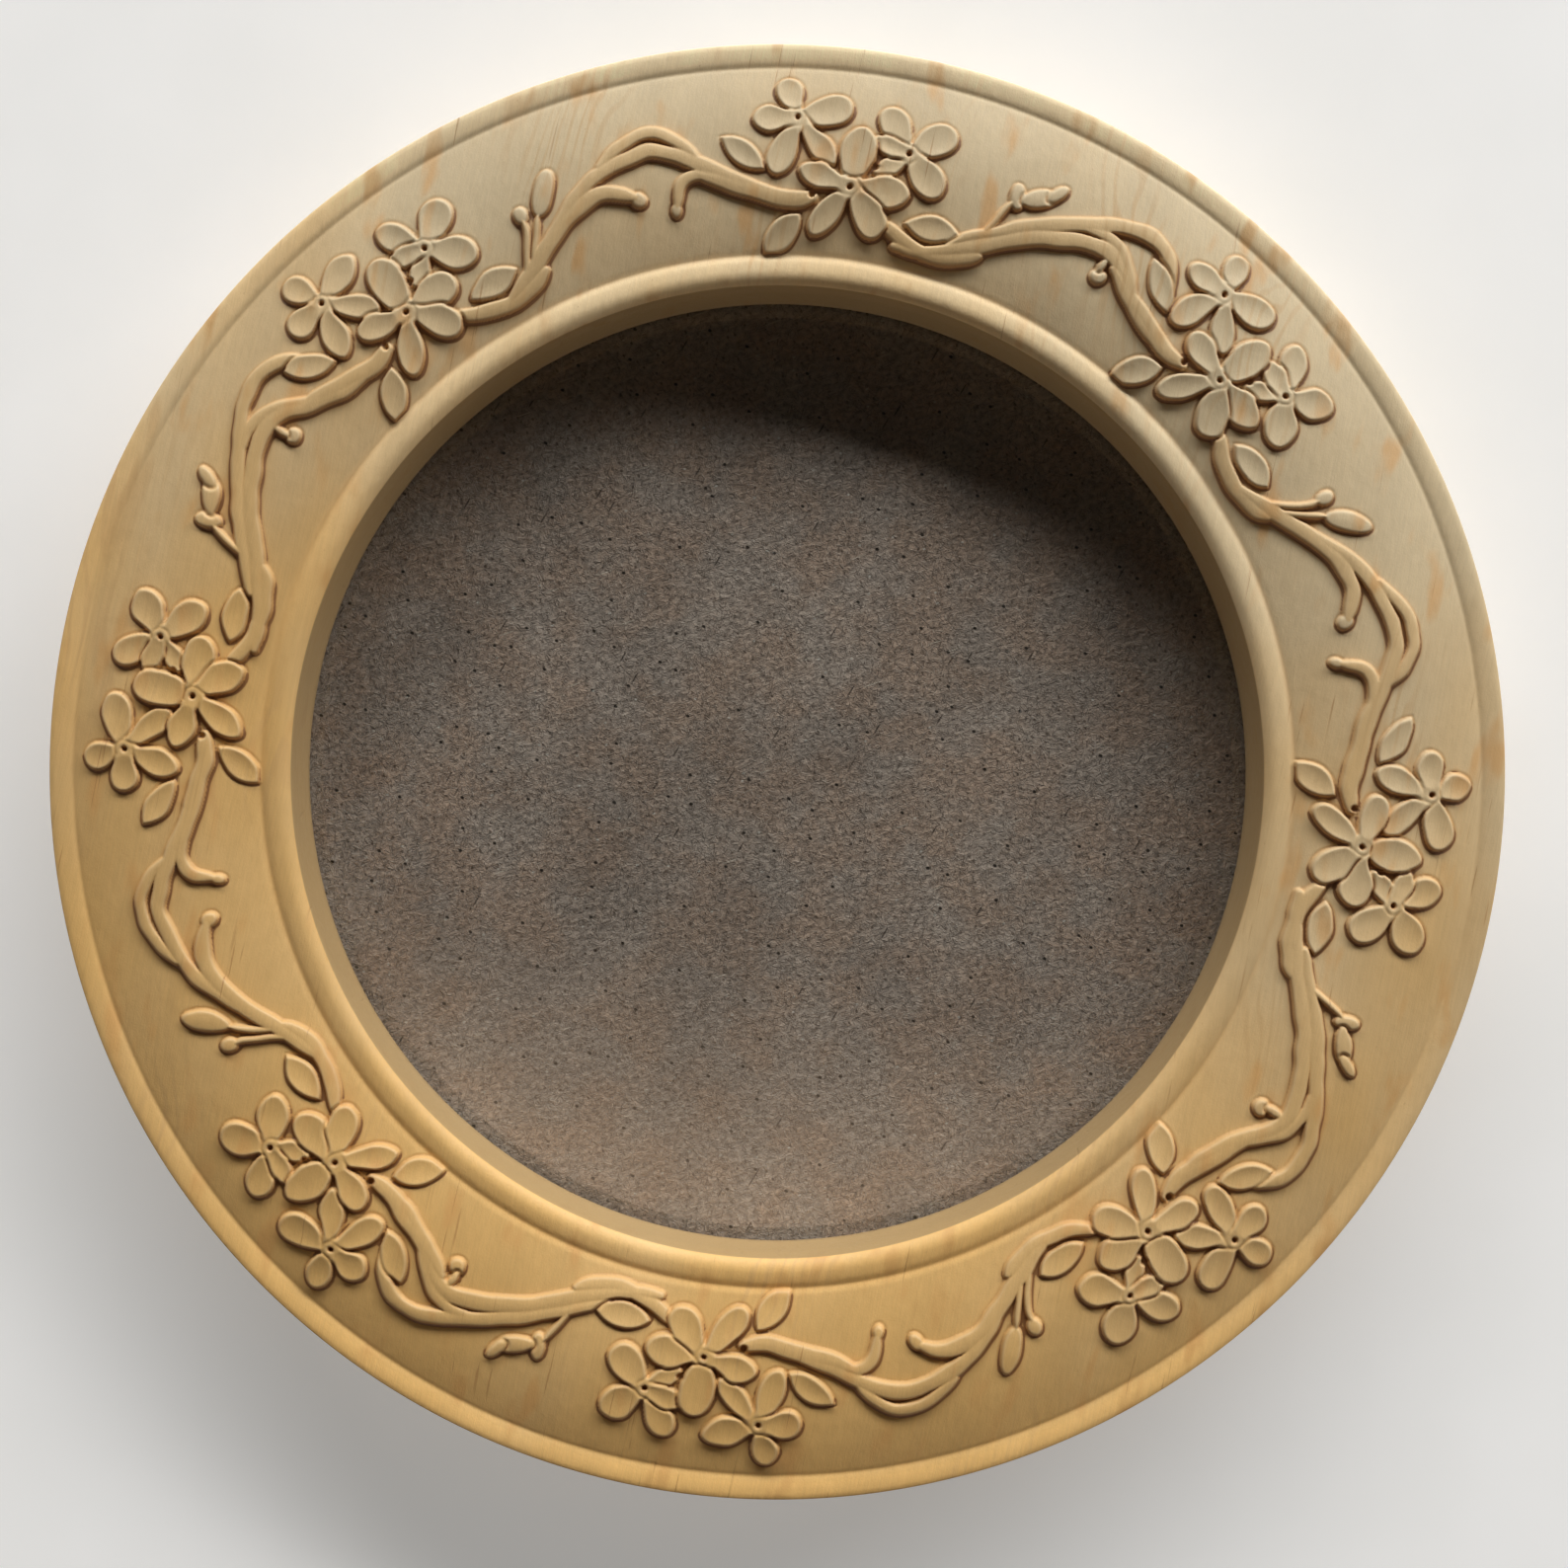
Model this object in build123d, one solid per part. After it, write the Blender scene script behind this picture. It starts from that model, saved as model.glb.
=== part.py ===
from build123d import *
import os
from math import atan2, cos, hypot, radians, sin

# Round photo frame: one turned and carved pine ring, lying on its back. A glass pane and a
# greyboard back sit in its rebate, held by four turn buttons, and it hangs by a saw-tooth hanger.
# Millimetres. The origin is the middle of the back face. +Z points out of the front and +Y is the
# top of the frame when it hangs.

# The turned ring: widths across the moulding and heights above the back face
sight_radius = 80.0          # the opening, at the pane
moulding_width = 40.0        # from the opening to the outside
wall_draft = 0.4             # how much the opening widens from the pane up to the inner bead
back_easing = 1.0            # chamfer round the back edge
outer_bead_width = 3.9
outer_bead_height = 22.5
outer_crest_inset = 1.1      # from the outside to the crest of the outer bead
outer_edge_round = 0.4
outer_edge_drop = 0.1        # how far the bead falls from its crest to this round edge
outer_groove_height = 22.05
field_height = 24.05         # crown of the carved field
inner_groove_height = 22.0
inner_bead_width = 4.8
inner_bead_height = 22.4
inner_crest_inset = 2.3      # from the opening to the crest of the inner bead
wall_top_height = 21.3

# The rebate and the hardware recess, cut from the back
lip_width = 4.0              # the lip that the pane rests against
recess_width = 16.0          # the shelf that carries the hardware
recess_depth = 4.0
board_thickness = 3.0
pane_thickness = 2.0
pane_clearance = 0.5         # all round the pane and the board

# Turn buttons and their screws
button_count = 4
button_first_angle = 45.0
button_hub_radius = 5.0
button_tip_radius = 3.5
button_grip = 4.5            # how far the tongue lies over the board
button_thickness = 1.2
button_edge_round = 0.3
screw_shank_radius = 1.6
screw_length_in_wood = 7.0
screw_point_length = 1.5
screw_head_radius = 3.2
screw_head_height = 1.6
screw_head_round = 0.9
screw_slot_width = 0.9
screw_slot_depth = 0.8
screw_slot_margin = 1.0      # from the end of a slot to the rim of the head
running_clearance = 0.05     # between a shank and the hole of the piece that it holds
pilot_spare = 0.5            # a pilot hole runs on past the point of its screw or nail

# Saw-tooth hanger and its nails
hanger_length = 45.0
hanger_width = 7.0
hanger_thickness = 0.8
hanger_inset = 0.5           # its middle lies this far inside the middle of the shelf
hanger_tab_length = 8.0      # flat end that a nail holds
hanger_step_length = 2.0     # along the hanger, between a flat end and the raised middle
hanger_lift = 1.2            # room behind the raised middle for the head of a wall nail
tooth_width = 2.4
tooth_depth = 1.5
nail_shank_radius = 0.65
nail_length_in_wood = 9.0
nail_point_length = 1.2
nail_head_radius = 1.6
nail_head_height = 0.7
nail_head_round = 0.3

# The carved garland. It wanders about one circle of the field: clusters of three flowers joined by
# vines of two kinds, in a design that repeats after half a turn. The tables are shares of the reach
# of a flower, measured from that circle on the ray of a cluster, or on the ray half way between two
# clusters: the first place runs clockwise along the ring, the second outwards.
garland_inset = 0.35         # the circle lies this far inside the crown of the field
flower_reach = 10.0          # from a flower's hub to the tip of its longest petal
relief_height = 1.2          # the garland stands this far above the field
relief_root = 2.0            # its solids start this far below the lower groove
relief_margin = 0.4          # bare edge of the field beside each groove
cut_overrun = 1.0            # cutting shapes run past the surface that they cut
circle_shares = 10.0         # radius of the garland's circle as it is drawn
garland_repeats = 2
cluster_angles = [82.9, 41.5, -7.4, -51.1]
drawn_link_degrees = [41.3, 49.1]    # between two clusters, for each kind of link as it is drawn

# Each flower: its hub, then its petals as direction in degrees, distance from hub to middle, half
# length and half width
flower_shares = [
    ((-1.01, 0.72), [(112, 0.43, 0.30, 0.24), (19, 0.54, 0.42, 0.27), (-44, 0.60, 0.42, 0.22),
                     (-105, 0.59, 0.42, 0.24), (188, 0.42, 0.31, 0.25)]),
    ((0.90, 0.34), [(122, 0.52, 0.37, 0.26), (33, 0.48, 0.39, 0.29), (-48, 0.49, 0.40, 0.29),
                    (219, 0.38, 0.32, 0.18), (165, 0.36, 0.32, 0.18)]),
    ((0.00, -0.34), [(84, 0.52, 0.50, 0.31), (-3, 0.59, 0.41, 0.29), (-52, 0.55, 0.40, 0.28),
                     (-124, 0.61, 0.43, 0.23), (168, 0.54, 0.38, 0.24)]),
]
hub_radius_share = 0.21

# Leaves of a cluster: middle, direction in degrees, half length, half width
leaf_shares = [((-1.83, 0.14), -28, 0.48, 0.22), ((-1.03, -1.17), -124, 0.46, 0.24),
               ((1.42, -0.74), -4, 0.47, 0.23)]

# Stems under a cluster: half width, then the places that the stem passes
stem_shares = [(0.17, [(-2.6, -0.10), (-2.0, -0.34), (-1.5, -0.48), (-1.0, -0.62), (-0.6, -0.58)]),
               (0.13, [(0.6, -0.82), (1.0, -1.06), (1.5, -1.16), (2.0, -1.06), (2.3, -0.92)])]

# Vines of each kind of link, written like the stems
vine_shares = [
    [(0.14, [(-2.4, -1.18), (-2.0, -1.16), (-1.5, -0.98), (-1.0, -0.72), (-0.5, -0.38),
             (0.0, -0.14), (0.4, 0.02), (0.8, 0.09), (1.1, 0.00), (1.4, -0.24), (1.7, -0.44),
             (2.0, -0.58), (2.4, -0.65)]),
     (0.13, [(-1.6, -0.85), (-1.0, -0.50), (-0.5, -0.16), (0.0, 0.12), (0.4, 0.34), (0.8, 0.55),
             (1.2, 0.68), (1.6, 0.66), (1.9, 0.46), (2.1, 0.10)]),
     (0.11, [(0.2, 0.22), (0.6, 0.30), (1.0, 0.21), (1.3, -0.04), (1.6, -0.34)]),
     (0.08, [(-1.15, -0.65), (-1.05, -0.25), (-0.95, 0.10)])],
    [(0.14, [(-2.4, -1.17), (-2.0, -0.99), (-1.5, -0.70), (-1.0, -0.37), (-0.6, -0.18),
             (-0.2, -0.12), (0.1, -0.18), (0.36, -0.32)]),
     (0.13, [(-1.2, -0.42), (-0.8, -0.14), (-0.4, 0.10), (0.0, 0.24), (0.4, 0.33), (0.8, 0.38),
             (1.2, 0.26), (1.6, 0.04), (2.0, -0.20), (2.4, -0.38), (2.8, -0.50)]),
     (0.11, [(-0.1, 0.33), (0.3, 0.54), (0.7, 0.66), (1.1, 0.62), (1.4, 0.40), (1.6, 0.15)]),
     (0.11, [(1.02, -0.62), (1.2, -0.28), (1.5, -0.13), (1.9, -0.21), (2.2, -0.34)]),
     (0.08, [(-1.95, -1.00), (-1.76, -0.60), (-1.66, -0.25), (-1.68, -0.05)]),
     (0.08, [(-1.7, -0.78), (-1.52, -0.40), (-1.38, -0.10)])],
]

# Knobs and buds of each kind of link: middle, direction in degrees, half length, half width
bud_shares = [
    [((0.87, -0.34), 0, 0.16, 0.15), ((0.84, -0.14), 80, 0.16, 0.09), ((-0.91, 0.20), 110, 0.25, 0.15),
     ((-0.56, 0.32), 32, 0.34, 0.17), ((-0.33, 0.52), 62, 0.22, 0.12)],
    [((0.40, -0.38), -70, 0.18, 0.15), ((1.00, -0.66), -110, 0.14, 0.12),
     ((-1.68, 0.02), 95, 0.17, 0.14), ((-1.18, 0.22), 62, 0.43, 0.19)],
]

# Worked out from the sizes above
ring_radius = sight_radius + moulding_width
outer_groove_radius = ring_radius - outer_bead_width
outer_crest_radius = ring_radius - outer_crest_inset
outer_edge_radius = ring_radius - outer_edge_round
outer_edge_height = outer_bead_height - outer_edge_drop
outer_side_height = outer_edge_height - outer_edge_round
wall_top_radius = sight_radius + wall_draft
inner_crest_radius = wall_top_radius + inner_crest_inset
inner_groove_radius = wall_top_radius + inner_bead_width
crown_radius = (inner_groove_radius + outer_groove_radius) / 2
garland_radius = crown_radius - garland_inset
rebate_radius = sight_radius + lip_width
recess_radius = rebate_radius + recess_width
shelf_radius = rebate_radius + recess_width / 2
pane_back = recess_depth + board_thickness
lip_height = pane_back + pane_thickness
pane_radius = rebate_radius - pane_clearance
button_back = recess_depth - button_thickness
button_reach = shelf_radius - pane_radius + button_grip
button_angles = [button_first_angle + 360 / button_count * k for k in range(button_count)]
hanger_back = recess_depth - hanger_thickness
hanger_radius = shelf_radius - hanger_inset
nail_places = [(side * (hanger_length - hanger_tab_length) / 2, hanger_radius) for side in (-1, 1)]
root_height = min(inner_groove_height, outer_groove_height) - relief_root


def field_arc(inset, rise):
    """The arc of the field across the ring, drawn in by inset at each end and lifted by rise."""
    return ThreePointArc((inner_groove_radius + inset, inner_groove_height + rise),
                         (crown_radius, field_height + rise),
                         (outer_groove_radius - inset, outer_groove_height + rise))


def turned(*lines):
    """A solid of revolution about Z, from the lines of a closed outline of radius and height."""
    return revolve(Plane.XZ * make_face(list(lines)), Axis.Z)


def ring_blank():
    """The ring as it leaves the lathe: beads, grooves, crowned field, lip, rebate and recess."""
    outer_crest = outer_crest_radius, outer_bead_height
    outer_edge = outer_edge_radius, outer_edge_height
    outer_bead = [TangentArc(outer_crest, (outer_groove_radius, outer_groove_height), tangent=(-1, 0)),
                  TangentArc(outer_crest, outer_edge, tangent=(1, 0)),
                  TangentArc(outer_edge, (ring_radius, outer_side_height), tangent=(1, 0))]
    inner_crest = inner_crest_radius, inner_bead_height
    inner_bead = [TangentArc(inner_crest, (wall_top_radius, wall_top_height), tangent=(-1, 0)),
                  TangentArc(inner_crest, (inner_groove_radius, inner_groove_height), tangent=(1, 0))]
    back = Polyline((ring_radius, outer_side_height), (ring_radius, back_easing),
                    (ring_radius - back_easing, 0), (recess_radius, 0),
                    (recess_radius, recess_depth), (rebate_radius, recess_depth),
                    (rebate_radius, lip_height), (sight_radius, lip_height),
                    (wall_top_radius, wall_top_height))
    return turned(back, field_arc(0, 0), *outer_bead, *inner_bead)


def garland_blank():
    """The wood that the garland is cut from: crowned like the field, at the relief's height."""
    crown = field_arc(relief_margin, relief_height)
    floor = root_height - cut_overrun
    inner, outer = inner_groove_radius + relief_margin, outer_groove_radius - relief_margin
    return turned(crown, Polyline(crown @ 0, (inner, floor), (outer, floor), crown @ 1))


def spot(shares, stretch=1):
    """A place of a garland table, with its ray along +Y and its angle from the ray stretched."""
    along, outwards = shares
    angle = atan2(along, circle_shares + outwards) * stretch
    distance = garland_radius + outwards * flower_reach
    return distance * sin(angle), distance * cos(angle)


def oval(middle, direction, half_length, half_width):
    """A petal, bud or knob seen from the front. Its half sizes are shares of a flower's reach."""
    outline = Ellipse(half_length * flower_reach, half_width * flower_reach)
    return Pos(*middle) * Rot(0, 0, direction) * outline


def leaf(middle, direction, half_length, half_width):
    """A leaf with two pointed ends, seen from the front. Its half sizes are shares too."""
    length, width = half_length * flower_reach, half_width * flower_reach
    sides = [ThreePointArc((-length, 0), (0, side * width), (length, 0)) for side in (-1, 1)]
    return Pos(*middle) * Rot(0, 0, direction) * make_face(sides)


def vine(points, half_width):
    """A stem through the points, seen from the front, with a round at each end."""
    left, right = [], []
    for k, (x, y) in enumerate(points):
        before, after = points[max(k - 1, 0)], points[min(k + 1, len(points) - 1)]
        run_x, run_y = after[0] - before[0], after[1] - before[1]
        scale = half_width / hypot(run_x, run_y)
        left.append((x - run_y * scale, y + run_x * scale))
        right.append((x + run_y * scale, y - run_x * scale))
    ends = [Line(left[end], right[end]) for end in (0, -1)]
    band = make_face([Spline(*left), Spline(*right)] + ends)
    return [band] + [Pos(*points[end]) * Circle(half_width) for end in (0, -1)]


def flower(hub, petals):
    """A hub with its petals around it, seen from the front."""
    hub_x, hub_y = spot(hub)
    shapes = [Pos(hub_x, hub_y) * Circle(hub_radius_share * flower_reach)]
    for direction, distance_share, half_length, half_width in petals:
        run = distance_share * flower_reach
        middle = hub_x + run * cos(radians(direction)), hub_y + run * sin(radians(direction))
        shapes.append(oval(middle, direction, half_length, half_width))
    return shapes


def cluster(angle):
    """Three flowers, their leaves and the stems below them, turned to their place on the ring."""
    shapes = []
    for hub, petals in flower_shares:
        shapes += flower(hub, petals)
    for middle, direction, half_length, half_width in leaf_shares:
        shapes.append(leaf(spot(middle), direction, half_length, half_width))
    for half_width, places in stem_shares:
        shapes += vine([spot(place) for place in places], half_width * flower_reach)
    return [Rot(0, 0, angle - 90) * shape for shape in shapes]


def link(kind, start, end):
    """The vines and buds between two clusters, stretched to the angle between them."""
    stretch = (start - end) / drawn_link_degrees[kind]
    shapes = []
    for half_width, places in vine_shares[kind]:
        shapes += vine([spot(place, stretch) for place in places], half_width * flower_reach)
    for middle, direction, half_length, half_width in bud_shares[kind]:
        shapes.append(oval(spot(middle, stretch), direction, half_length, half_width))
    return [Rot(0, 0, (start + end) / 2 - 90) * shape for shape in shapes]


def garland_repeat():
    """One repeat of the garland: upright sides under the crowned surface of its blank."""
    turn = 360 / garland_repeats
    shapes = []
    for k, angle in enumerate(cluster_angles):
        following = (cluster_angles + [cluster_angles[0] - turn])[k + 1]
        shapes += cluster(angle) + link(k % 2, angle, following)
    height = field_height + relief_height + cut_overrun - root_height
    return garland_blank() & extrude(Pos(0, 0, root_height) * (Sketch() + shapes), height)


def shank(radius, length, point_length):
    """A round shank that stands on Z = 0 and ends in a point."""
    return turned(Polyline((0, 0), (radius, 0), (radius, length - point_length), (0, length),
                           close=True))


def head(radius, height, rounding):
    """A round head below Z = 0 with its outer edge rounded."""
    blank = Pos(0, 0, -height) * Cylinder(radius, height, align=(Align.CENTER, Align.CENTER, Align.MIN))
    return fillet(blank.edges().sort_by(Axis.Z)[0], rounding)


def at_button(angle, height):
    """The place of a turn button's pivot, with X pointing away from the middle of the frame."""
    return Rot(0, 0, angle) * Pos(shelf_radius, 0, height)


def pilot_hole(radius, length_in_wood):
    """The hole that a screw or nail fills, from just below the shelf to past its point."""
    height = cut_overrun + length_in_wood + pilot_spare
    return Pos(0, 0, -cut_overrun) * Cylinder(radius, height, align=(Align.CENTER, Align.CENTER,
                                                                     Align.MIN))


def carved_ring():
    """The turned ring with its garland, and pilot holes for the screws and the hanger's nails."""
    repeat = garland_repeat()
    copies = [Rot(0, 0, 360 / garland_repeats * k) * repeat for k in range(garland_repeats)]
    screw_hole = pilot_hole(screw_shank_radius, screw_length_in_wood)
    nail_hole = pilot_hole(nail_shank_radius, nail_length_in_wood)
    holes = [at_button(angle, recess_depth) * screw_hole for angle in button_angles]
    holes += [Pos(x, y, recess_depth) * nail_hole for x, y in nail_places]
    return ring_blank() - holes + copies


def disc(thickness, back):
    """A round sheet that fits the rebate, with its back at the given height."""
    return Pos(0, 0, back) * Cylinder(pane_radius, thickness,
                                      align=(Align.CENTER, Align.CENTER, Align.MIN))


def turn_button():
    """A tongue that points to the middle of the frame, with its pivot hole at the origin."""
    hub = Circle(button_hub_radius)
    tip = Pos(button_tip_radius - button_reach, 0) * Circle(button_tip_radius)
    outline = make_hull(hub.edges() + tip.edges())
    plate = extrude(outline, button_thickness)
    rims = plate.edges().filter_by(Plane.XY)
    eased = fillet(rims, button_edge_round)
    return eased - Cylinder(screw_shank_radius + running_clearance, 2 * button_thickness + cut_overrun)


def button_screw():
    """A cross-slotted wood screw, head downwards, with the face under its head at the origin."""
    slot = Box(2 * (screw_head_radius - screw_slot_margin), screw_slot_width, 2 * screw_slot_depth)
    slots = Pos(0, 0, -screw_head_height) * (slot + Rot(0, 0, 90) * slot)
    body = shank(screw_shank_radius, button_thickness + screw_length_in_wood, screw_point_length)
    return head(screw_head_radius, screw_head_height, screw_head_round) - slots + body


def sawtooth_hanger():
    """A bent strip with a flat tab at each end and teeth along the edge nearer the middle."""
    tab_end = hanger_length / 2 - hanger_tab_length
    raised_end = tab_end - hanger_step_length
    front = [(-hanger_length / 2, 0), (-tab_end, 0), (-raised_end, -hanger_lift),
             (raised_end, -hanger_lift), (tab_end, 0), (hanger_length / 2, 0)]
    back = [(x, z - hanger_thickness) for x, z in reversed(front)]
    outline = Plane.XZ * make_face(Polyline(*front, *back, close=True))
    strip = extrude(outline, hanger_width / 2, both=True)
    count = int(2 * raised_end / tooth_width)
    height = hanger_lift + hanger_thickness + cut_overrun
    notch = extrude(make_face(Polyline((-tooth_width / 2, 0), (0, tooth_depth),
                                       (tooth_width / 2, 0), close=True)), -height)
    notches = [Pos((k - (count - 1) / 2) * tooth_width, -hanger_width / 2) * notch
               for k in range(count)]
    hole = Cylinder(nail_shank_radius + running_clearance, 2 * hanger_thickness + cut_overrun)
    holes = [Pos(x, 0, 0) * hole for x, _ in nail_places]
    return Pos(0, hanger_radius, recess_depth) * (strip - notches - holes)


def hanger_nail():
    """A round-headed nail, head downwards, with the face under its head at the origin."""
    body = shank(nail_shank_radius, hanger_thickness + nail_length_in_wood, nail_point_length)
    return head(nail_head_radius, nail_head_height, nail_head_round) + body


def all_pieces():
    """Every piece of the frame at its place, by the name of its node."""
    pieces = {"carved_ring": carved_ring(), "glass_pane": disc(pane_thickness, pane_back),
              "backing_board": disc(board_thickness, recess_depth),
              "sawtooth_hanger": sawtooth_hanger()}
    for k, angle in enumerate(button_angles, start=1):
        place = at_button(angle, button_back)
        pieces[f"turn_button_{k}"] = place * turn_button()
        pieces[f"turn_button_screw_{k}"] = place * button_screw()
    for k, (x, y) in enumerate(nail_places, start=1):
        pieces[f"hanger_nail_{k}"] = Pos(x, y, hanger_back) * hanger_nail()
    return pieces


os.makedirs("parts", exist_ok=True)
for name, piece in all_pieces().items():
    piece.label = name
    export_step(piece, f"parts/{name}.step")
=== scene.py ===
import bpy
import numpy as np
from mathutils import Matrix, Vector


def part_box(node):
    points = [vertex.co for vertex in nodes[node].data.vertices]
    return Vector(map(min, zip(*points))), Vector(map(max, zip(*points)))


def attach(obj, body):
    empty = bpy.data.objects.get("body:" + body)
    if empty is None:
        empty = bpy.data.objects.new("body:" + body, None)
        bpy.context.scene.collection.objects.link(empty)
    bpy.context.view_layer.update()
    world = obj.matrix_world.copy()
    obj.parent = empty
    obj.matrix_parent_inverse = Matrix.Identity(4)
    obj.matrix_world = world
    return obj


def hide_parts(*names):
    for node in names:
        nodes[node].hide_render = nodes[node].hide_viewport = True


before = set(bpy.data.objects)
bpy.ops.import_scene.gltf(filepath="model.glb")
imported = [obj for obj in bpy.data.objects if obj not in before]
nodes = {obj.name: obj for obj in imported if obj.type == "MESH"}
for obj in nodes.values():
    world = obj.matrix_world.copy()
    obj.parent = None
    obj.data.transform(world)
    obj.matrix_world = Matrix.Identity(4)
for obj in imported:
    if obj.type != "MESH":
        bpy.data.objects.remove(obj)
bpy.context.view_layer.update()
mm = 0.001

# The carved ring. One piece of pale pine, turned on a lathe and then carved all round its crowned
# field with flowers, leaves and vines. Its back is cut away in steps for the pane, the board and the
# hardware. It is one piece of wood; it is built in eight lengths so that each mesh stays handy.
ring_low, ring_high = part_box("carved_ring")
ring_radius = min(ring_high.x - ring_low.x, ring_high.y - ring_low.y) / 2 / mm
ring_lengths = 8
columns_per_length = 380
columns = ring_lengths * columns_per_length
corner_ease = 0.12

back_easing = 1.0
outer_crest = 118.9, 22.5
outer_edge, outer_edge_round = (119.6, 22.4), 0.4
outer_groove = 116.1, 22.05
crown = 100.65, 24.05
inner_groove = 85.2, 22.0
inner_crest = 82.7, 22.4
wall_top = 80.4, 21.3
sight_radius, lip_height = 80.0, 9.0
rebate_radius = 84.0
recess_radius, recess_depth = 100.0, 4.0

garland_radius = 100.0
flower_reach = 10.0
relief_height = 1.18
relief_margin = 0.4
wander_depth = 0.32
wander_waves, shortest_wave, longest_wave = 7, 4, 14
circle_shares = 10.0
cluster_angles = [82.9, 41.5, -7.4, -51.1, -97.1, -138.5, -187.4, -231.1]
drawn_link_degrees = [41.3, 49.1]
cluster_reach_degrees, link_reach_degrees = 19, 30

# Each flower: its hub, then its petals as direction in degrees, distance from hub to middle, half
# length and half width
flower_shares = [
    ((-1.01, 0.72), [(112, 0.43, 0.30, 0.24), (19, 0.54, 0.42, 0.27), (-44, 0.60, 0.42, 0.22),
                     (-105, 0.59, 0.42, 0.24), (188, 0.42, 0.31, 0.25)]),
    ((0.90, 0.34), [(122, 0.52, 0.37, 0.26), (33, 0.48, 0.39, 0.29), (-48, 0.49, 0.40, 0.29),
                    (219, 0.38, 0.32, 0.18), (165, 0.36, 0.32, 0.18)]),
    ((0.00, -0.34), [(84, 0.52, 0.50, 0.31), (-3, 0.59, 0.41, 0.29), (-52, 0.55, 0.40, 0.28),
                     (-124, 0.61, 0.43, 0.23), (168, 0.54, 0.38, 0.24)]),
]
flower_heights = [0.94, 0.94, 1.14]
hub_radius, hub_dip, hub_dip_reach = 1.9, 0.14, 1.3
hub_ditch_start, hub_ditch_fade = 0.5, 0.8
neck_radius, neck_share = 1.2, 0.8
hub_hole_radius, hub_hole_depth, hole_rim = 0.42, 0.9, 1.4
pit_shares, pit_radius, pit_depth = [(0.36, 0.03), (-0.62, -0.53)], 0.55, 1.1
petal_swells, petal_powers = (0.06, 0.26), (1.65, 2.15)
tilt_spread = 0.06

# Leaves of a cluster: middle, direction in degrees, half length, half width
leaf_shares = [((-1.83, 0.14), -28, 0.48, 0.22), ((-1.03, -1.17), -124, 0.46, 0.24),
               ((1.42, -0.74), -4, 0.47, 0.23)]

# Stems under a cluster: half width, then the places that the stem passes
stem_shares = [(0.17, [(-2.6, -0.10), (-2.0, -0.34), (-1.5, -0.48), (-1.0, -0.62), (-0.6, -0.58)]),
               (0.15, [(0.6, -0.82), (1.0, -1.06), (1.5, -1.16), (2.0, -1.06), (2.3, -0.92)])]

# Vines of each kind of link, written like the stems
vine_shares = [
    [(0.16, [(-2.4, -1.18), (-2.0, -1.16), (-1.5, -0.98), (-1.0, -0.72), (-0.5, -0.38),
             (0.0, -0.14), (0.4, 0.02), (0.8, 0.09), (1.1, 0.00), (1.4, -0.24), (1.7, -0.44),
             (2.0, -0.58), (2.4, -0.65)]),
     (0.15, [(-1.6, -0.85), (-1.0, -0.50), (-0.5, -0.16), (0.0, 0.12), (0.4, 0.34), (0.8, 0.55),
             (1.2, 0.68), (1.6, 0.66), (1.9, 0.46), (2.1, 0.10)]),
     (0.13, [(0.2, 0.22), (0.6, 0.30), (1.0, 0.21), (1.3, -0.04), (1.6, -0.34)]),
     (0.08, [(-1.15, -0.65), (-1.05, -0.25), (-0.95, 0.10)])],
    [(0.16, [(-2.4, -1.17), (-2.0, -0.99), (-1.5, -0.70), (-1.0, -0.37), (-0.6, -0.18),
             (-0.2, -0.12), (0.1, -0.18), (0.36, -0.32)]),
     (0.15, [(-1.2, -0.42), (-0.8, -0.14), (-0.4, 0.10), (0.0, 0.24), (0.4, 0.33), (0.8, 0.38),
             (1.2, 0.26), (1.6, 0.04), (2.0, -0.20), (2.4, -0.38), (2.8, -0.50)]),
     (0.13, [(-0.1, 0.33), (0.3, 0.54), (0.7, 0.66), (1.1, 0.62), (1.4, 0.40), (1.6, 0.15)]),
     (0.13, [(1.02, -0.62), (1.2, -0.28), (1.5, -0.13), (1.9, -0.21), (2.2, -0.34)]),
     (0.08, [(-1.95, -1.00), (-1.76, -0.60), (-1.66, -0.25), (-1.68, -0.05)]),
     (0.08, [(-1.7, -0.78), (-1.52, -0.40), (-1.38, -0.10)])],
]

# Knobs and buds of each kind of link: middle, direction in degrees, half length, half width
bud_shares = [
    [((0.87, -0.34), 0, 0.16, 0.15), ((0.84, -0.14), 80, 0.16, 0.09), ((-0.91, 0.20), 110, 0.25, 0.15),
     ((-0.56, 0.32), 32, 0.34, 0.17), ((-0.33, 0.52), 62, 0.22, 0.12)],
    [((0.40, -0.37), -70, 0.17, 0.14), ((1.00, -0.66), -110, 0.14, 0.11),
     ((-1.68, 0.02), 95, 0.17, 0.14), ((-1.18, 0.22), 62, 0.43, 0.19)],
]

# How the shapes are cut: a steep wall with a soft foot, and a narrow ditch along each outline
wall_width = 0.60
ditch_width = 0.55
field_ditch, relief_ditch = 0.12, 0.24
vine_height, vine_swell, vine_rounding, vine_taper = 0.82, 0.04, 0.24, 0.40
leaf_height, bud_height = 0.86, 0.84
petal_dish, leaf_dish, bud_dome = 0.40, 0.38, 0.22
neck_blend = 0.8


def shares_between(length, count):
    """Even shares along a run of the outline, short of both corners by the easing."""
    ease = corner_ease / length
    return np.linspace(ease, 1 - ease, count)[:, None]


def straight(start, end, count):
    """A straight run of the outline: start + share * (end - start)."""
    start, end = np.array(start), np.array(end)
    return start + shares_between(np.hypot(*(end - start)), count) * (end - start)


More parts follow.
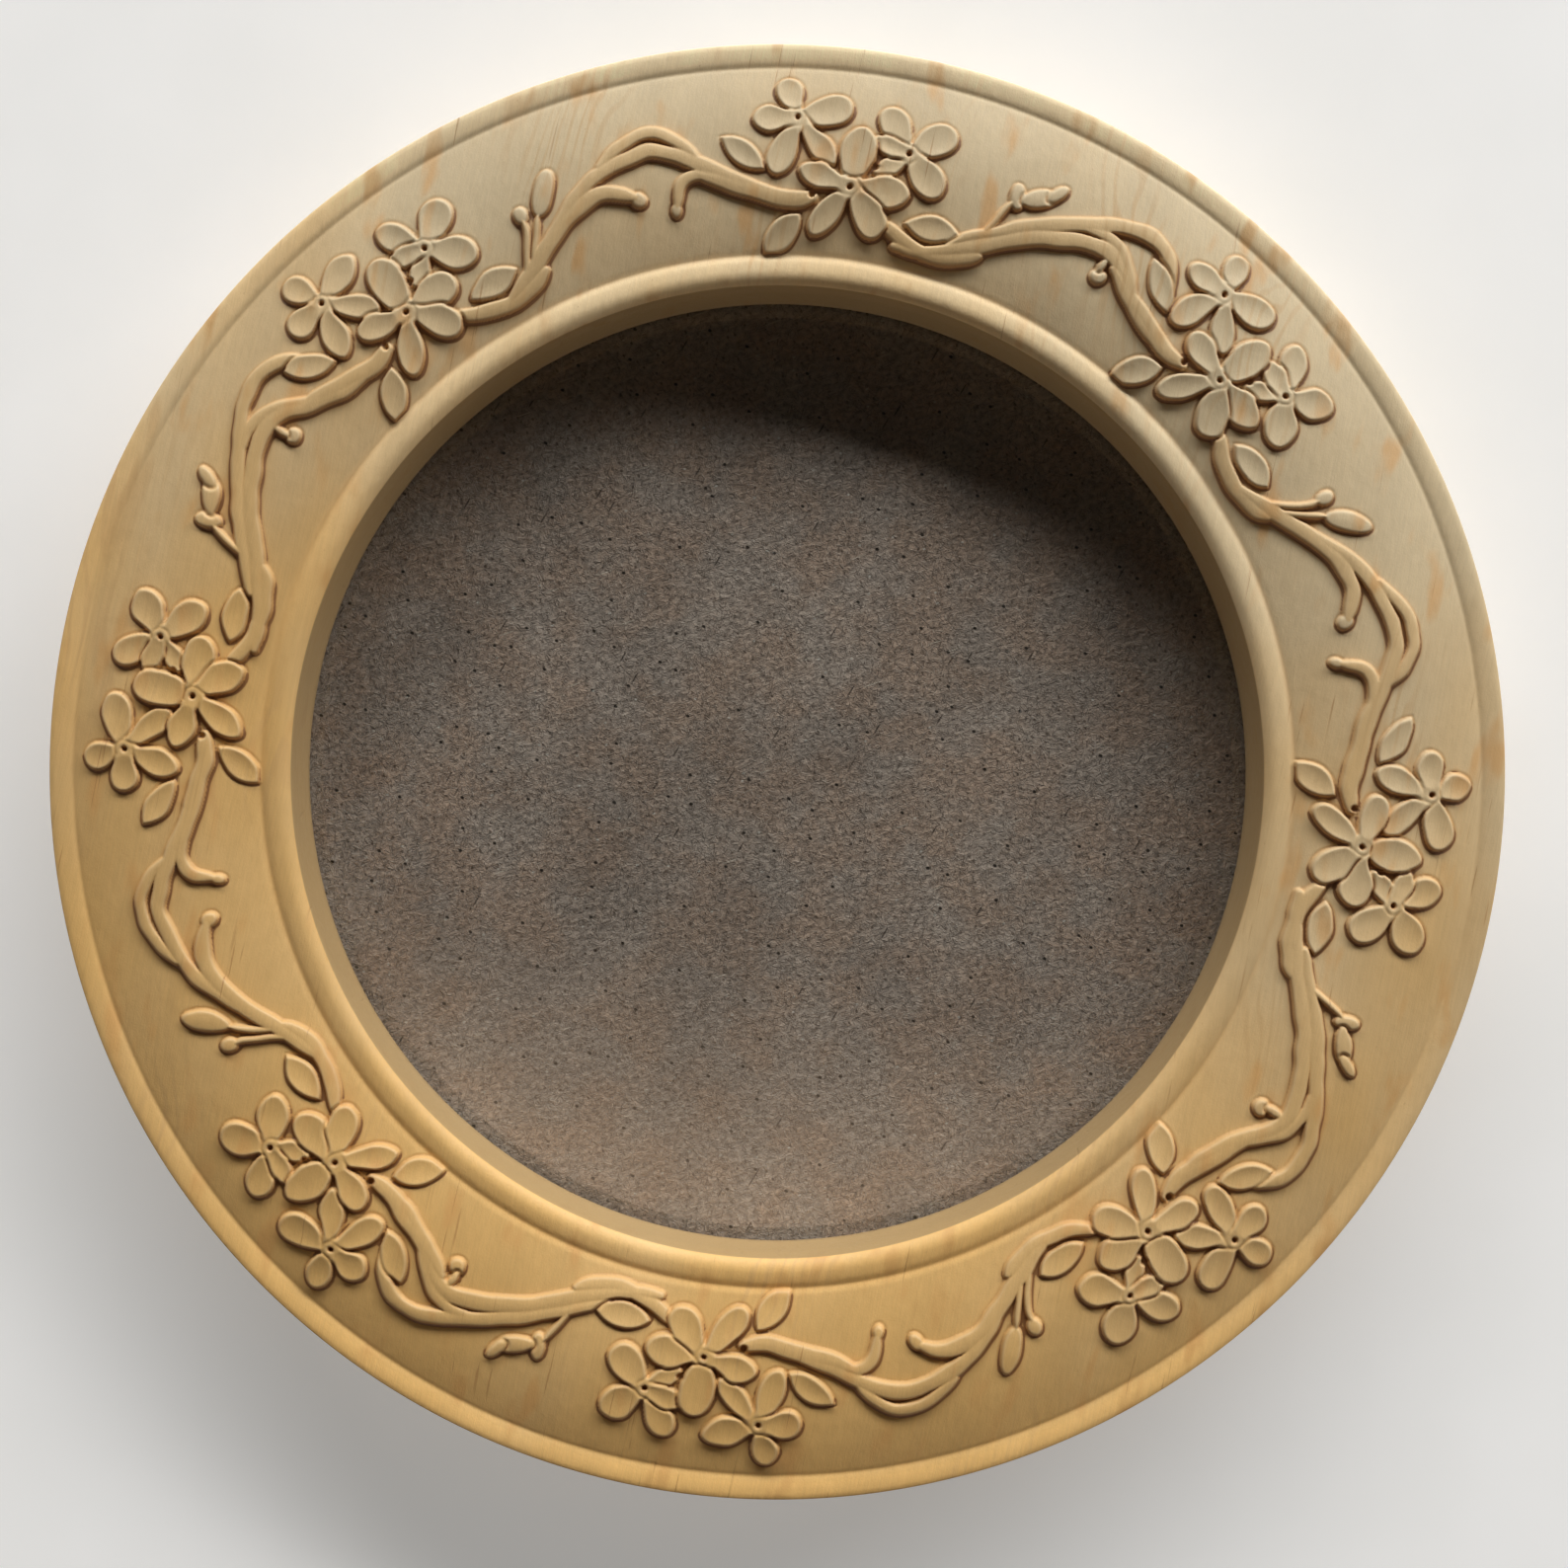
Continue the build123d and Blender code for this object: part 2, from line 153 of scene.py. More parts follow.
def arc(start, middle, end, count):
    """A run along the circle through three points: its centre is as far from each of them."""
    start, middle, end = np.array(start), np.array(middle), np.array(end)
    chords = 2 * np.array([middle - start, end - start])
    centre = np.linalg.solve(chords, [middle @ middle - start @ start, end @ end - start @ start])
    spokes = np.array([start, middle, end]) - centre
    first, _, last = np.unwrap(np.arctan2(spokes[:, 1], spokes[:, 0]))
    radius = np.hypot(*spokes[0])
    angle = first + shares_between(abs(last - first) * radius, count)[:, 0] * (last - first)
    return centre + radius * np.stack([np.cos(angle), np.sin(angle)], axis=1)


def smooth(share):
    """The S curve 3x² - 2x³ of a share held between 0 and 1."""
    share = np.clip(share, 0, 1)
    return share * share * (3 - 2 * share)


def level_arc(crest, foot, count):
    """A run from a crest, where it is level, down to a foot. The circle's radius is
    (run² + drop²) / 2 drop, and its middle point lies at half the sweep arcsin(run / radius)."""
    run, drop = foot[0] - crest[0], crest[1] - foot[1]
    radius = (run ** 2 + drop ** 2) / (2 * drop)
    half = np.arcsin(min(abs(run) / radius, 1)) / 2
    middle = crest[0] + np.sign(run) * radius * np.sin(half), crest[1] - radius * (1 - np.cos(half))
    return arc(crest, middle, foot, count)


outer_side_top = ring_radius, outer_edge[1] - outer_edge_round
field = arc(outer_groove, crown, inner_groove, 160)
outer_runs = [
    straight((ring_radius, back_easing), outer_side_top, 8),
    level_arc(outer_edge, outer_side_top, 5)[::-1],
    level_arc(outer_crest, outer_edge, 5)[::-1],
    level_arc(outer_crest, outer_groove, 12)]
inner_runs = [
    level_arc(inner_crest, inner_groove, 10)[::-1],
    level_arc(inner_crest, wall_top, 12),
    straight(wall_top, (sight_radius, lip_height), 8),
    straight((sight_radius, lip_height), (rebate_radius, lip_height), 3),
    straight((rebate_radius, lip_height), (rebate_radius, recess_depth), 3),
    straight((rebate_radius, recess_depth), (recess_radius, recess_depth), 5),
    straight((recess_radius, recess_depth), (recess_radius, 0), 3),
    straight((recess_radius, 0), (ring_radius - back_easing, 0), 5),
    straight((ring_radius - back_easing, 0), (ring_radius, back_easing), 3)]
outline = np.concatenate(outer_runs + [field] + inner_runs)
field_start = sum(len(run) for run in outer_runs)
field_rows = slice(field_start, field_start + len(field))

column_angles = 2 * np.pi * np.arange(columns) / columns
carving = np.zeros((2, columns, len(field)))
carver = np.random.default_rng(11)


def waves(x, y, count, shortest, longest):
    """Slow unevenness: the mean of sine waves of random direction, length and start."""
    turn, start = carver.uniform(0, 2 * np.pi, (2, count))
    number = 2 * np.pi / carver.uniform(shortest, longest, count)
    along = x[..., None] * np.cos(turn) + y[..., None] * np.sin(turn)
    return np.sin(along * number + start).mean(axis=-1)


# No cutter follows a drawing exactly, so each place of the field is carved a little beside its own
field_x = field[:, 0] * np.cos(column_angles)[:, None]
field_y = field[:, 0] * np.sin(column_angles)[:, None]
wander = wander_depth * np.stack([waves(field_x, field_y, wander_waves, shortest_wave, longest_wave)
                                  for _ in range(2)], axis=-1)


def beside_ray(degrees, reach_degrees):
    """The columns near a ray, and how far each place of the field lies clockwise of it and along it."""
    ray, reach = np.radians([degrees, reach_degrees])
    turned = (column_angles - ray + np.pi) % (2 * np.pi) - np.pi
    near = np.flatnonzero(np.abs(turned) < reach)
    clockwise = -turned[near, None]
    places = np.stack([field[:, 0] * np.sin(clockwise), field[:, 0] * np.cos(clockwise)], axis=-1)
    return near, places + wander[near]


def spot(shares, stretch=1):
    """A place of a garland table in millimetres, with its angle from the ray stretched."""
    along, outwards = shares
    angle = np.arctan2(along, circle_shares + outwards) * stretch
    distance = garland_radius + outwards * flower_reach
    return np.array([distance * np.sin(angle), distance * np.cos(angle)])


def own_axes(places, middle, direction):
    """Places measured along and across a shape that lies at middle and points in a direction."""
    turn = np.radians(direction)
    offset = places - middle
    along = offset[..., 0] * np.cos(turn) + offset[..., 1] * np.sin(turn)
    across = offset[..., 1] * np.cos(turn) - offset[..., 0] * np.sin(turn)
    return along, across


def oval(places, middle, direction, half_length, half_width, swell=0.0, power=2.0):
    """Distance in from an oval's outline, and the shares along and across it. The far end is wider
    by swell, and a power under 2 makes it more pointed. The distance is one less the radius share
    (along^power + across^power)^(1/power), over the steepness of that share."""
    along, across = own_axes(places, middle, direction)
    length, width = half_length * flower_reach, half_width * flower_reach
    along = along / length
    across = across / (width * (1 + swell * np.clip(along, -1, 1)))
    radius = np.maximum((np.abs(along) ** power + np.abs(across) ** power) ** (1 / power), 0.001)
    steepness = np.hypot(np.abs(along / radius) ** (power - 1) / length,
                         np.abs(across / radius) ** (power - 1) / width)
    return (1 - radius) / steepness, along, across


def leaf(places, middle, direction, half_length, half_width):
    """Distance in from a leaf's outline, which is two circle arcs that meet in two points, and the
    shares along and across it."""
    along, across = own_axes(places, middle, direction)
    length, width = half_length * flower_reach, half_width * flower_reach
    radius = (length ** 2 + width ** 2) / (2 * width)
    inside = radius - np.hypot(along, np.abs(across) + radius - width)
    return inside, along / length, across / width


def curve_through(points, steps=8):
    """A smooth line through points: between two of them runs the cubic whose slope at each is half
    the step from the point before to the point after."""
    points = np.array(points)
    ends = 2 * points[[0, -1]] - points[[1, -2]]
    padded = np.concatenate([ends[:1], points, ends[1:]])
    before, first, second, after = (padded[k:len(padded) - 3 + k, None] for k in range(4))
    t = np.linspace(0, 1, steps, endpoint=False)[None, :, None]
    curve = first + 0.5 * t * (second - before + t * (
        2 * before - 5 * first + 4 * second - after + t * (3 * (first - second) + after - before)))
    return np.concatenate([curve.reshape(-1, 2), points[-1:]])


def vine(places, points, half_width):
    """Distance in from the outline of a vine that tapers towards its ends: its half width less the
    distance to its line."""
    line = curve_through(points)
    margin = half_width + 2 * ditch_width
    low, high = line.min(axis=0) - margin, line.max(axis=0) + margin
    near = ((places > low) & (places < high)).all(axis=-1)
    start, run = line[:-1], np.diff(line, axis=0)
    offset = places[near][:, None] - start
    share = np.clip((offset * run).sum(-1) / (run * run).sum(-1), 0, 1)
    distance = np.linalg.norm(offset - share[..., None] * run, axis=-1)
    from_middle = np.abs(2 * (np.arange(len(run)) + share) / len(run) - 1)
    inside = np.full(near.shape, -margin)
    inside[near] = (half_width * (1 - vine_taper * from_middle ** 5) - distance).max(axis=1)
    return inside


def cut(relief, inside, top, ditch=1.0, stem=0.0):
    """Cuts one shape into the relief, which is a height and a share of stem wood: what lies below
    is lowered by a ditch along the outline, and a wall x(2 - x), steep at its foot and round at its
    shoulder, rises from it to the shape's own top. The ditch may fade away in places."""
    height, stem_share = relief
    depth = field_ditch + relief_ditch * np.clip(height / leaf_height, 0, 1)
    lowered = height - ditch * depth * smooth(1 + inside / ditch_width)
    rise = np.clip(inside / wall_width, 0, 1)
    wall = rise * (2 - rise)
    return np.stack([lowered * (1 - wall) + top * wall, stem_share * (1 - wall) + stem * wall])


def drill(relief, places, middle, radius, depth):
    """A small round hole: its depth fades by the S curve across the soft rim."""
    distance = np.linalg.norm(places - middle, axis=-1)
    height, stem_share = relief
    return np.stack([height - depth * smooth(hole_rim - distance / radius), stem_share])


def carve_vine(relief, places, points, half_width):
    """A round-backed stem: its top falls away from its line by the square of the distance, and it
    grows out of whatever it meets, because the higher of the two surfaces stays."""
    half_width = half_width * flower_reach
    inside = vine(places, points, half_width)
    from_line = 1 - np.clip(inside / half_width, 0, 1)
    top = vine_height + vine_swell * half_width ** 2 - vine_rounding * from_line ** 2
    grown = cut(np.minimum(relief, 0), inside, top, stem=1.0)
    return np.where(grown[0] > relief[0], grown, relief)


def carve_bud(relief, places, middle, shape):
    """A domed bud or knob: its top falls away by along² + across²."""
    inside, along, across = oval(places, middle, *shape)
    return cut(relief, inside, bud_height - bud_dome * (along ** 2 + across ** 2))


def carve_leaf(relief, places, middle, shape):
    """A leaf hollowed between its two edges by 1 - along² - across²."""
    inside, along, across = leaf(places, middle, *shape)
    hollow = leaf_dish * np.clip(1 - along ** 2 - across ** 2, 0, 1)
    tilt = carver.normal(0, tilt_spread)
    return cut(relief, inside, leaf_height - hollow + tilt * np.clip(across, -1, 1))


def carve_petal(relief, places, hub, petal, flower_height):
    """A petal hollowed like a spoon by 1 - along² - across², which dips towards the hub. A tapering
    neck joins it to the hub, blended in where the two outlines are nearly as deep as each other."""
    direction, distance, half_length, half_width = petal
    turn = np.radians(direction)
    reach = distance * flower_reach
    middle = hub + reach * np.array([np.cos(turn), np.sin(turn)])
    swell, power = carver.uniform(*np.transpose([petal_swells, petal_powers]))
    inside, along, across = oval(places, middle, direction, half_length, half_width, swell, power)
    from_hub, beside = own_axes(places, hub, direction)
    share = np.clip(from_hub / reach, 0, 1)
    neck = neck_radius + (neck_share * half_width * flower_reach - neck_radius) * share
    neck_inside = neck - np.hypot(from_hub - share * reach, beside)
    blend = np.clip(1 - np.abs(inside - neck_inside) / neck_blend, 0, 1)
    inside = np.maximum(inside, neck_inside) + neck_blend / 4 * blend ** 2
    hollow = petal_dish * np.clip(1 - along ** 2 - across ** 2, 0, 1)
    tilt = carver.normal(0, tilt_spread)
    hub_distance = np.linalg.norm(places - hub, axis=-1)
    dip = hub_dip * smooth(1 - hub_distance / (hub_dip_reach * hub_radius))
    top = flower_height - hollow - dip + tilt * np.clip(across, -1, 1) * share
    ditch = smooth((hub_distance / hub_radius - hub_ditch_start) / hub_ditch_fade)
    return cut(relief, inside, top, ditch)


def carve_link(kind, start, end):
    """The buds between two clusters and the vines that grow into them, stretched to the angle
    between the clusters."""
    stretch = (start - end) / drawn_link_degrees[kind]
    near, places = beside_ray((start + end) / 2, link_reach_degrees)
    relief = carving[:, near]
    for middle, *shape in bud_shares[kind]:
        relief = carve_bud(relief, places, spot(middle, stretch), shape)
    for half_width, points in vine_shares[kind]:
        relief = carve_vine(relief, places, [spot(point, stretch) for point in points], half_width)
    carving[:, near] = relief


def carve_cluster(angle):
    """Stems, then leaves, then the two rear flowers and the front one, each cut over the last."""
    near, places = beside_ray(angle, cluster_reach_degrees)
    relief = carving[:, near]
    for half_width, points in stem_shares:
        relief = carve_vine(relief, places, [spot(point) for point in points], half_width)
    for middle, *shape in leaf_shares:
        relief = carve_leaf(relief, places, spot(middle), shape)
    for (hub_share, petals), flower_height in zip(flower_shares, flower_heights):
        hub = spot(hub_share)
        from_hub = np.linalg.norm(places - hub, axis=-1)
        relief = cut(relief, hub_radius - from_hub, flower_height - hub_dip)
        for petal in petals:
            relief = carve_petal(relief, places, hub, petal, flower_height)
        relief = drill(relief, places, hub, hub_hole_radius, hub_hole_depth)
    for pit in pit_shares:
        relief = drill(relief, places, spot(pit), pit_radius, pit_depth)
    carving[:, near] = relief


links = list(zip(cluster_angles, cluster_angles[1:] + [cluster_angles[0] - 360]))
for number, (start, end) in enumerate(links):
    carve_link(number % 2, start, end)
for angle in cluster_angles:
    carve_cluster(angle)

# The relief ends softly at the two grooves. Its stem wood, its steep cut sides, its hollows and its
# crests are kept for the colour, which paints shade on the sides and in the hollows and a highlight
# on the crests: a place is as hollow as its neighbours stand above it.
from_groove = np.minimum(outer_groove[0] - field[:, 0], field[:, 0] - inner_groove[0])
height, stem_share = carving * smooth(from_groove / relief_margin)
height = np.clip(height, -relief_margin, relief_height)
slope_round = np.gradient(height, 2 * np.pi / columns, axis=0) / field[:, 0]
slope_across = np.gradient(height, field[:, 0], axis=1)
level_slope, side_slope = 0.35, 1.35
steepness = np.hypot(slope_round, slope_across)
cut_side = smooth((steepness - level_slope) / (side_slope - level_slope))


def mean_around(values, step):
    """The mean of each place and of the eight places some steps away all round it."""
    padded = np.pad(values, ((step, step), (0, 0)), mode="wrap")
    padded = np.pad(padded, ((0, 0), (step, step)), mode="edge")
    long, wide = values.shape
    around = sum(padded[step + a:step + a + long, step + b:step + b + wide]
                 for a in (-step, 0, step) for b in (-step, 0, step))
    return around / 9


# The sides that face the bottom of the frame, away from the window, get more painted shade: there
# the ground rises towards the top
turn = column_angles[:, None]
slope_up = slope_across * np.sin(turn) + slope_round * np.cos(turn)
side_steps, facing_slope = 3, 0.5
lower_side = smooth(0.5 + mean_around(slope_up, side_steps) / facing_slope)
shade_top, shade_bottom = 0.60, 1.75
side_shade_top, side_shade_bottom = 0.30, 1.35

# Both grooves are cut a little deeper, and painted darker along them as shade in the creases
outer_dip_and_shade, outer_dip_reach = 0.20, 0.8
inner_dip_and_shade, inner_dip_reach = 0.34, 1.2
groove_depth, bead_fade, front_share = 0.25, 1.5, 0.8
from_outer = np.abs(outline[:, 0] - outer_groove[0])
from_inner = np.abs(outline[:, 0] - inner_groove[0])
in_front = outline[:, 1] > front_share * inner_groove[1]
groove_dip_and_shade = in_front * (outer_dip_and_shade * smooth(1 - from_outer / outer_dip_reach)
                           + inner_dip_and_shade * smooth(1 - from_inner / inner_dip_reach))
ring_height = np.repeat(outline[None, :, 1], columns, axis=0) - groove_depth * groove_dip_and_shade
ring_height[:, field_rows] += height

# Painted shade, partly the cutter's rubbing and burn: darker in narrow and broad hollows and in the
# grooves, more so on the sides that face the bottom
line_steps, line_depth, line_share = 2, 0.18, 0.55
shade_steps, shade_depth = 4, 0.32
fine = np.clip((mean_around(height, line_steps) - height) / line_depth, -1, 1)
broad = np.clip((mean_around(height, shade_steps) - height) / shade_depth, 0, 1)
rub_and_shade = line_share * np.clip(fine, 0, 1) + (1 - line_share) * broad
rub_and_shade = rub_and_shade * (shade_top + (shade_bottom - shade_top) * lower_side)
hollow = np.repeat(groove_dip_and_shade[None], columns, axis=0)
hollow[:, field_rows] = np.maximum(hollow[:, field_rows], rub_and_shade)
# Crests get a painted highlight; steep cut sides a reddish painted shade, partly cutter burn, stronger
# on the sides that face the bottom; the wall of the opening a darker painted shade
crest, stem, side, bead = np.zeros((4, columns, len(outline)))
bead[:] = in_front * (1 - smooth((outline[:, 0] - inner_groove[0]) / bead_fade)
                      + smooth((outline[:, 0] - outer_groove[0]) / bead_fade))
crest[:, field_rows] = np.clip(-fine, 0, 1)
stem[:, field_rows] = stem_share
side[:, field_rows] = cut_side * (side_shade_top + (side_shade_bottom - side_shade_top) * lower_side)
wall_rows = (outline[:, 0] < wall_top[0] + corner_ease) & (outline[:, 1] < wall_top[1])
wall = np.repeat(wall_rows[None], columns, axis=0)


def grid_piece(name, points, join_columns=False, join_rows=False, **values):
    """A closed mesh on a grid of points[column, row]. Where columns or rows don't join end to end,
    one flat face closes each end. Each value is kept as an attribute of the points."""
    number = np.arange(points.shape[0] * points.shape[1]).reshape(points.shape[:2])
    if join_columns:
        number = np.concatenate([number, number[:1]])
    if join_rows:
        number = np.concatenate([number, number[:, :1]], axis=1)
    quads = np.stack([number[:-1, :-1], number[1:, :-1], number[1:, 1:], number[:-1, 1:]], axis=-1)
    lids = []
    if not join_columns:
        lids = [number[0], number[-1, ::-1]]
    if not join_rows:
        lids = [number[::-1, 0], number[:, -1]]
    if join_columns:
        lids = [lid[1:] for lid in lids]
    if join_rows:
        lids = [lid[1:] for lid in lids]
    corners = np.concatenate([quads.ravel()] + lids)
    counts = np.concatenate([np.full(quads.size // 4, 4)] + [[len(lid)] for lid in lids])
    mesh = bpy.data.meshes.new(name)
    mesh.vertices.add(points.shape[0] * points.shape[1])
    mesh.vertices.foreach_set("co", (points * mm).astype(np.float32).ravel())
    mesh.loops.add(len(corners))
    mesh.loops.foreach_set("vertex_index", corners.astype(np.int32))
    mesh.polygons.add(len(counts))
    mesh.polygons.foreach_set("loop_start", (np.cumsum(counts) - counts).astype(np.int32))
    mesh.polygons.foreach_set("use_smooth", counts == 4)
    for key, value in values.items():
        attribute = mesh.attributes.new(key, "FLOAT", "POINT")
        attribute.data.foreach_set("value", value.astype(np.float32).ravel())
    mesh.update(calc_edges=True)
    edges = np.zeros(len(corners), np.int32)
    mesh.loops.foreach_get("edge_index", edges)
    sharp = np.zeros(len(mesh.edges), bool)
    sharp[edges[quads.size:]] = True
    mesh.attributes.new("sharp_edge", "BOOLEAN", "EDGE").data.foreach_set("value", sharp)
    piece = bpy.data.objects.new(name, mesh)
    bpy.context.scene.collection.objects.link(piece)
    return piece


def add(tree, kind, inputs=None, **settings):
    """Adds a node to a tree. An input is a value, or the output of another node."""
    made = tree.nodes.new(kind)
    for key, value in settings.items():
        setattr(made, key, value)
    for socket, value in (inputs or {}).items():
        if isinstance(value, bpy.types.NodeSocket):
            tree.links.new(value, made.inputs[socket])
        else:
            made.inputs[socket].default_value = value
    return made


def arithmetic(tree, operation, first, second=0.0):
    """One sum of two numbers."""
    return add(tree, "ShaderNodeMath", {0: first, 1: second}, operation=operation).outputs[0]


def between(tree, value, low, high, to_low=0.0, to_high=1.0):
    """A value carried by an S curve from one range to another, and held at its ends."""
    inputs = {"Value": value, "From Min": low, "From Max": high, "To Min": to_low, "To Max": to_high}
    return add(tree, "ShaderNodeMapRange", inputs, interpolation_type="SMOOTHSTEP").outputs[0]


def mixed(tree, share, first, second, way="MIX"):
    """Two colours mixed by a share."""
    node = add(tree, "ShaderNodeMix", {0: share, 6: first, 7: second}, data_type="RGBA",
               blend_type=way, clamp_result=True)
    return node.outputs[2]


def stretched(tree, across, along, deep, lean=0.0, place=(0, 0, 0)):
    """Object coordinates counted in steps of three lengths in millimetres, turned about Z."""
    where = add(tree, "ShaderNodeTexCoord").outputs["Object"]
    inputs = {"Vector": where, "Location": place, "Rotation": (0, 0, lean),
              "Scale": (across * mm, along * mm, deep * mm)}
    return add(tree, "ShaderNodeMapping", inputs, vector_type="TEXTURE").outputs[0]


def noise(tree, where, detail=2.0, roughness=0.5, distortion=0.0):
    """Soft noise with one hill for each step of the coordinates it is given."""
    inputs = {"Vector": where, "Scale": 1.0, "Detail": detail, "Roughness": roughness,
              "Distortion": distortion}
    return add(tree, "ShaderNodeTexNoise", inputs).outputs["Fac"]


def new_material(name):
    """A material with its shader and output joined, and the tree to add its pattern to."""
    material = bpy.data.materials.new(name)
    material.use_nodes = True
    tree = material.node_tree
    tree.nodes.clear()
    shader = add(tree, "ShaderNodeBsdfPrincipled")
    add(tree, "ShaderNodeOutputMaterial", {"Surface": shader.outputs[0]})
    return material, tree, shader


def bumped(tree, shader, height_socket, depth_mm):
    """Fine unevenness of the surface, as deep as given."""
    bump = add(tree, "ShaderNodeBump", {"Height": height_socket, "Distance": depth_mm * mm,
                                        "Strength": 1.0})
    tree.links.new(bump.outputs[0], shader.inputs["Normal"])


grain_lean = -np.radians(12)
pale_pine = (0.71, 0.565, 0.345, 1)
warm_pine = (0.75, 0.46, 0.160, 1)
stem_pine = (0.74, 0.47, 0.185, 1)
late_wood = (0.60, 0.36, 0.15, 1)
crest_highlight_pine = (0.84, 0.72, 0.50, 1)
rubbed_and_shaded_pine = (0.60, 0.31, 0.095, 1)
scorched_and_shaded_pine = (0.17, 0.055, 0.014, 1)
side_burn_and_shade_pine = (0.42, 0.20, 0.065, 1)
wall_shade_pine = (0.40, 0.275, 0.13, 1)
resin_orange = (0.70, 0.37, 0.12, 1)
resin_brown = (0.42, 0.19, 0.06, 1)
ring_spacing, ring_waver, ring_slant = 2.6, 26.0, 0.6
late_strength, resin_strength, streak_strength, pore_strength = 0.42, 0.60, 0.55, 0.30
stem_strength, crest_highlight_strength, side_burn_and_shade_strength, wall_shade_strength = 0.55, 0.18, 0.60, 0.85
rubbed_and_shaded_strength, scorch_and_shade_strength = 0.45, 0.80
grit_share, sanded_share, pine_unevenness = 0.7, 2.4, 0.04
shade_warmth_down, shade_warmth_left, warmth_patches = 0.42, 0.26, 1.3
bead_highlight_across, bead_highlight_top = 0.26, 0.16


def pine():
    """Sanded pale pine: slanting grain in growth rings 2 to 3 mm apart that fade in and out, resin
    streaks and warmer patches. Painted light: paler towards the top and warmer towards the bottom and
    left, a painted highlight on crests and beads, and painted shade in hollows and grooves, on steep
    cut sides and on the wall of the opening, partly the cutter's rubbing and burn."""
    material, tree, shader = new_material("sanded_pine")
    attributes = {key: add(tree, "ShaderNodeAttribute", attribute_name=key).outputs["Fac"]
                  for key in ("hollow", "crest", "stem", "side", "bead", "wall")}
    place = add(tree, "ShaderNodeSeparateXYZ", {0: stretched(tree, 100, 100, 100)})
    patches = noise(tree, stretched(tree, 34, 60, 40, grain_lean), 2.0)
    cloud = noise(tree, stretched(tree, 9, 30, 12, grain_lean, (0.02, 0.01, 0)), 3.0)

    # Painted light: paler towards the top and warmer, more saturated towards the bottom and left, away
    # from the window; the patches are the wood's own
    away = arithmetic(tree, "ADD", arithmetic(tree, "MULTIPLY", place.outputs["Y"], -shade_warmth_down),
                      arithmetic(tree, "MULTIPLY", place.outputs["X"], -shade_warmth_left))
    warmth_and_shade = arithmetic(tree, "ADD", away, arithmetic(tree, "MULTIPLY", patches, warmth_patches))
    warmth_and_shade = between(tree, warmth_and_shade, 0.10, 1.18)
    colour = mixed(tree, warmth_and_shade, pale_pine, warm_pine)
    stem = arithmetic(tree, "MULTIPLY", attributes["stem"], stem_strength)
    colour = mixed(tree, stem, colour, stem_pine)

    waver = noise(tree, stretched(tree, 16, 70, 16, grain_lean), 3.0)
    across = add(tree, "ShaderNodeSeparateXYZ", {0: stretched(tree, 1, 1, 1, grain_lean)})
    ring_place = arithmetic(tree, "MULTIPLY", across.outputs["Z"], ring_slant)
    ring_place = arithmetic(tree, "ADD", across.outputs["X"], ring_place)
    ring_place = arithmetic(tree, "ADD", ring_place, arithmetic(tree, "MULTIPLY", waver, ring_waver))
    wave = arithmetic(tree, "SINE", arithmetic(tree, "MULTIPLY", ring_place, 2 * np.pi / ring_spacing))
    late = between(tree, wave, 0.2, 1.0)
    shown = noise(tree, stretched(tree, 22, 50, 22, grain_lean, (0.05, 0, 0)))
    late = arithmetic(tree, "MULTIPLY", late, between(tree, shown, 0.50, 0.72))
    colour = mixed(tree, arithmetic(tree, "MULTIPLY", late, late_strength), colour, late_wood)

    fibre = noise(tree, stretched(tree, 0.35, 9, 0.5, grain_lean), 3.0, 0.6)
    tone = between(tree, fibre, 0.3, 0.7, 0.965, 1.025)
    tone = arithmetic(tree, "MULTIPLY", tone, between(tree, cloud, 0.3, 0.7, 0.95, 1.04))
    # A bead is painted paler where it runs across the grain, at top and bottom, and most of all at the
    # top: a painted highlight
    painted_bead_highlight = arithmetic(tree, "MULTIPLY", place.outputs["Y"], place.outputs["Y"])
    painted_bead_highlight = arithmetic(tree, "ADD", between(tree, painted_bead_highlight, 0.10, 0.90, 0.0, bead_highlight_across),
                          between(tree, place.outputs["Y"], -0.1, 0.5, 0.0, bead_highlight_top))
    painted_bead_highlight = arithmetic(tree, "MULTIPLY", painted_bead_highlight, attributes["bead"])
    tone = arithmetic(tree, "MULTIPLY", tone, arithmetic(tree, "ADD", 1.0, painted_bead_highlight))
    toned = add(tree, "ShaderNodeCombineColor", {0: tone, 1: tone, 2: tone}).outputs[0]
    colour = mixed(tree, 1.0, colour, toned, "MULTIPLY")

    resin = noise(tree, stretched(tree, 5, 15, 6, grain_lean, (0.031, 0.012, 0)), 2.0)
    resin = between(tree, resin, 0.56, 0.72)
    colour = mixed(tree, arithmetic(tree, "MULTIPLY", resin, resin_strength), colour, resin_orange)

    streak = noise(tree, stretched(tree, 0.75, 22, 5, grain_lean, (0.013, 0.007, 0)), 2.0, 0.6)
    streak = between(tree, streak, 0.66, 0.74)
    where = noise(tree, stretched(tree, 12, 26, 12, grain_lean, (0.07, 0.03, 0)), 1.0)
    streak = arithmetic(tree, "MULTIPLY", streak, between(tree, where, 0.44, 0.58))
    colour = mixed(tree, arithmetic(tree, "MULTIPLY", streak, streak_strength), colour, resin_brown)

    pores = noise(tree, stretched(tree, 0.28, 0.9, 0.3, grain_lean), 1.0)
    pores = between(tree, pores, 0.74, 0.82)
    colour = mixed(tree, arithmetic(tree, "MULTIPLY", pores, pore_strength), colour, resin_brown)

    # Painted shade in the hollows, partly the cutter's rubbing and burn: orange-brown in the hollows
    # and grooves, and dark in the deepest hollows and pits
    hollow_shade = arithmetic(tree, "MULTIPLY", attributes["hollow"],
                        between(tree, cloud, 0.3, 0.7, 0.85, 1.15))
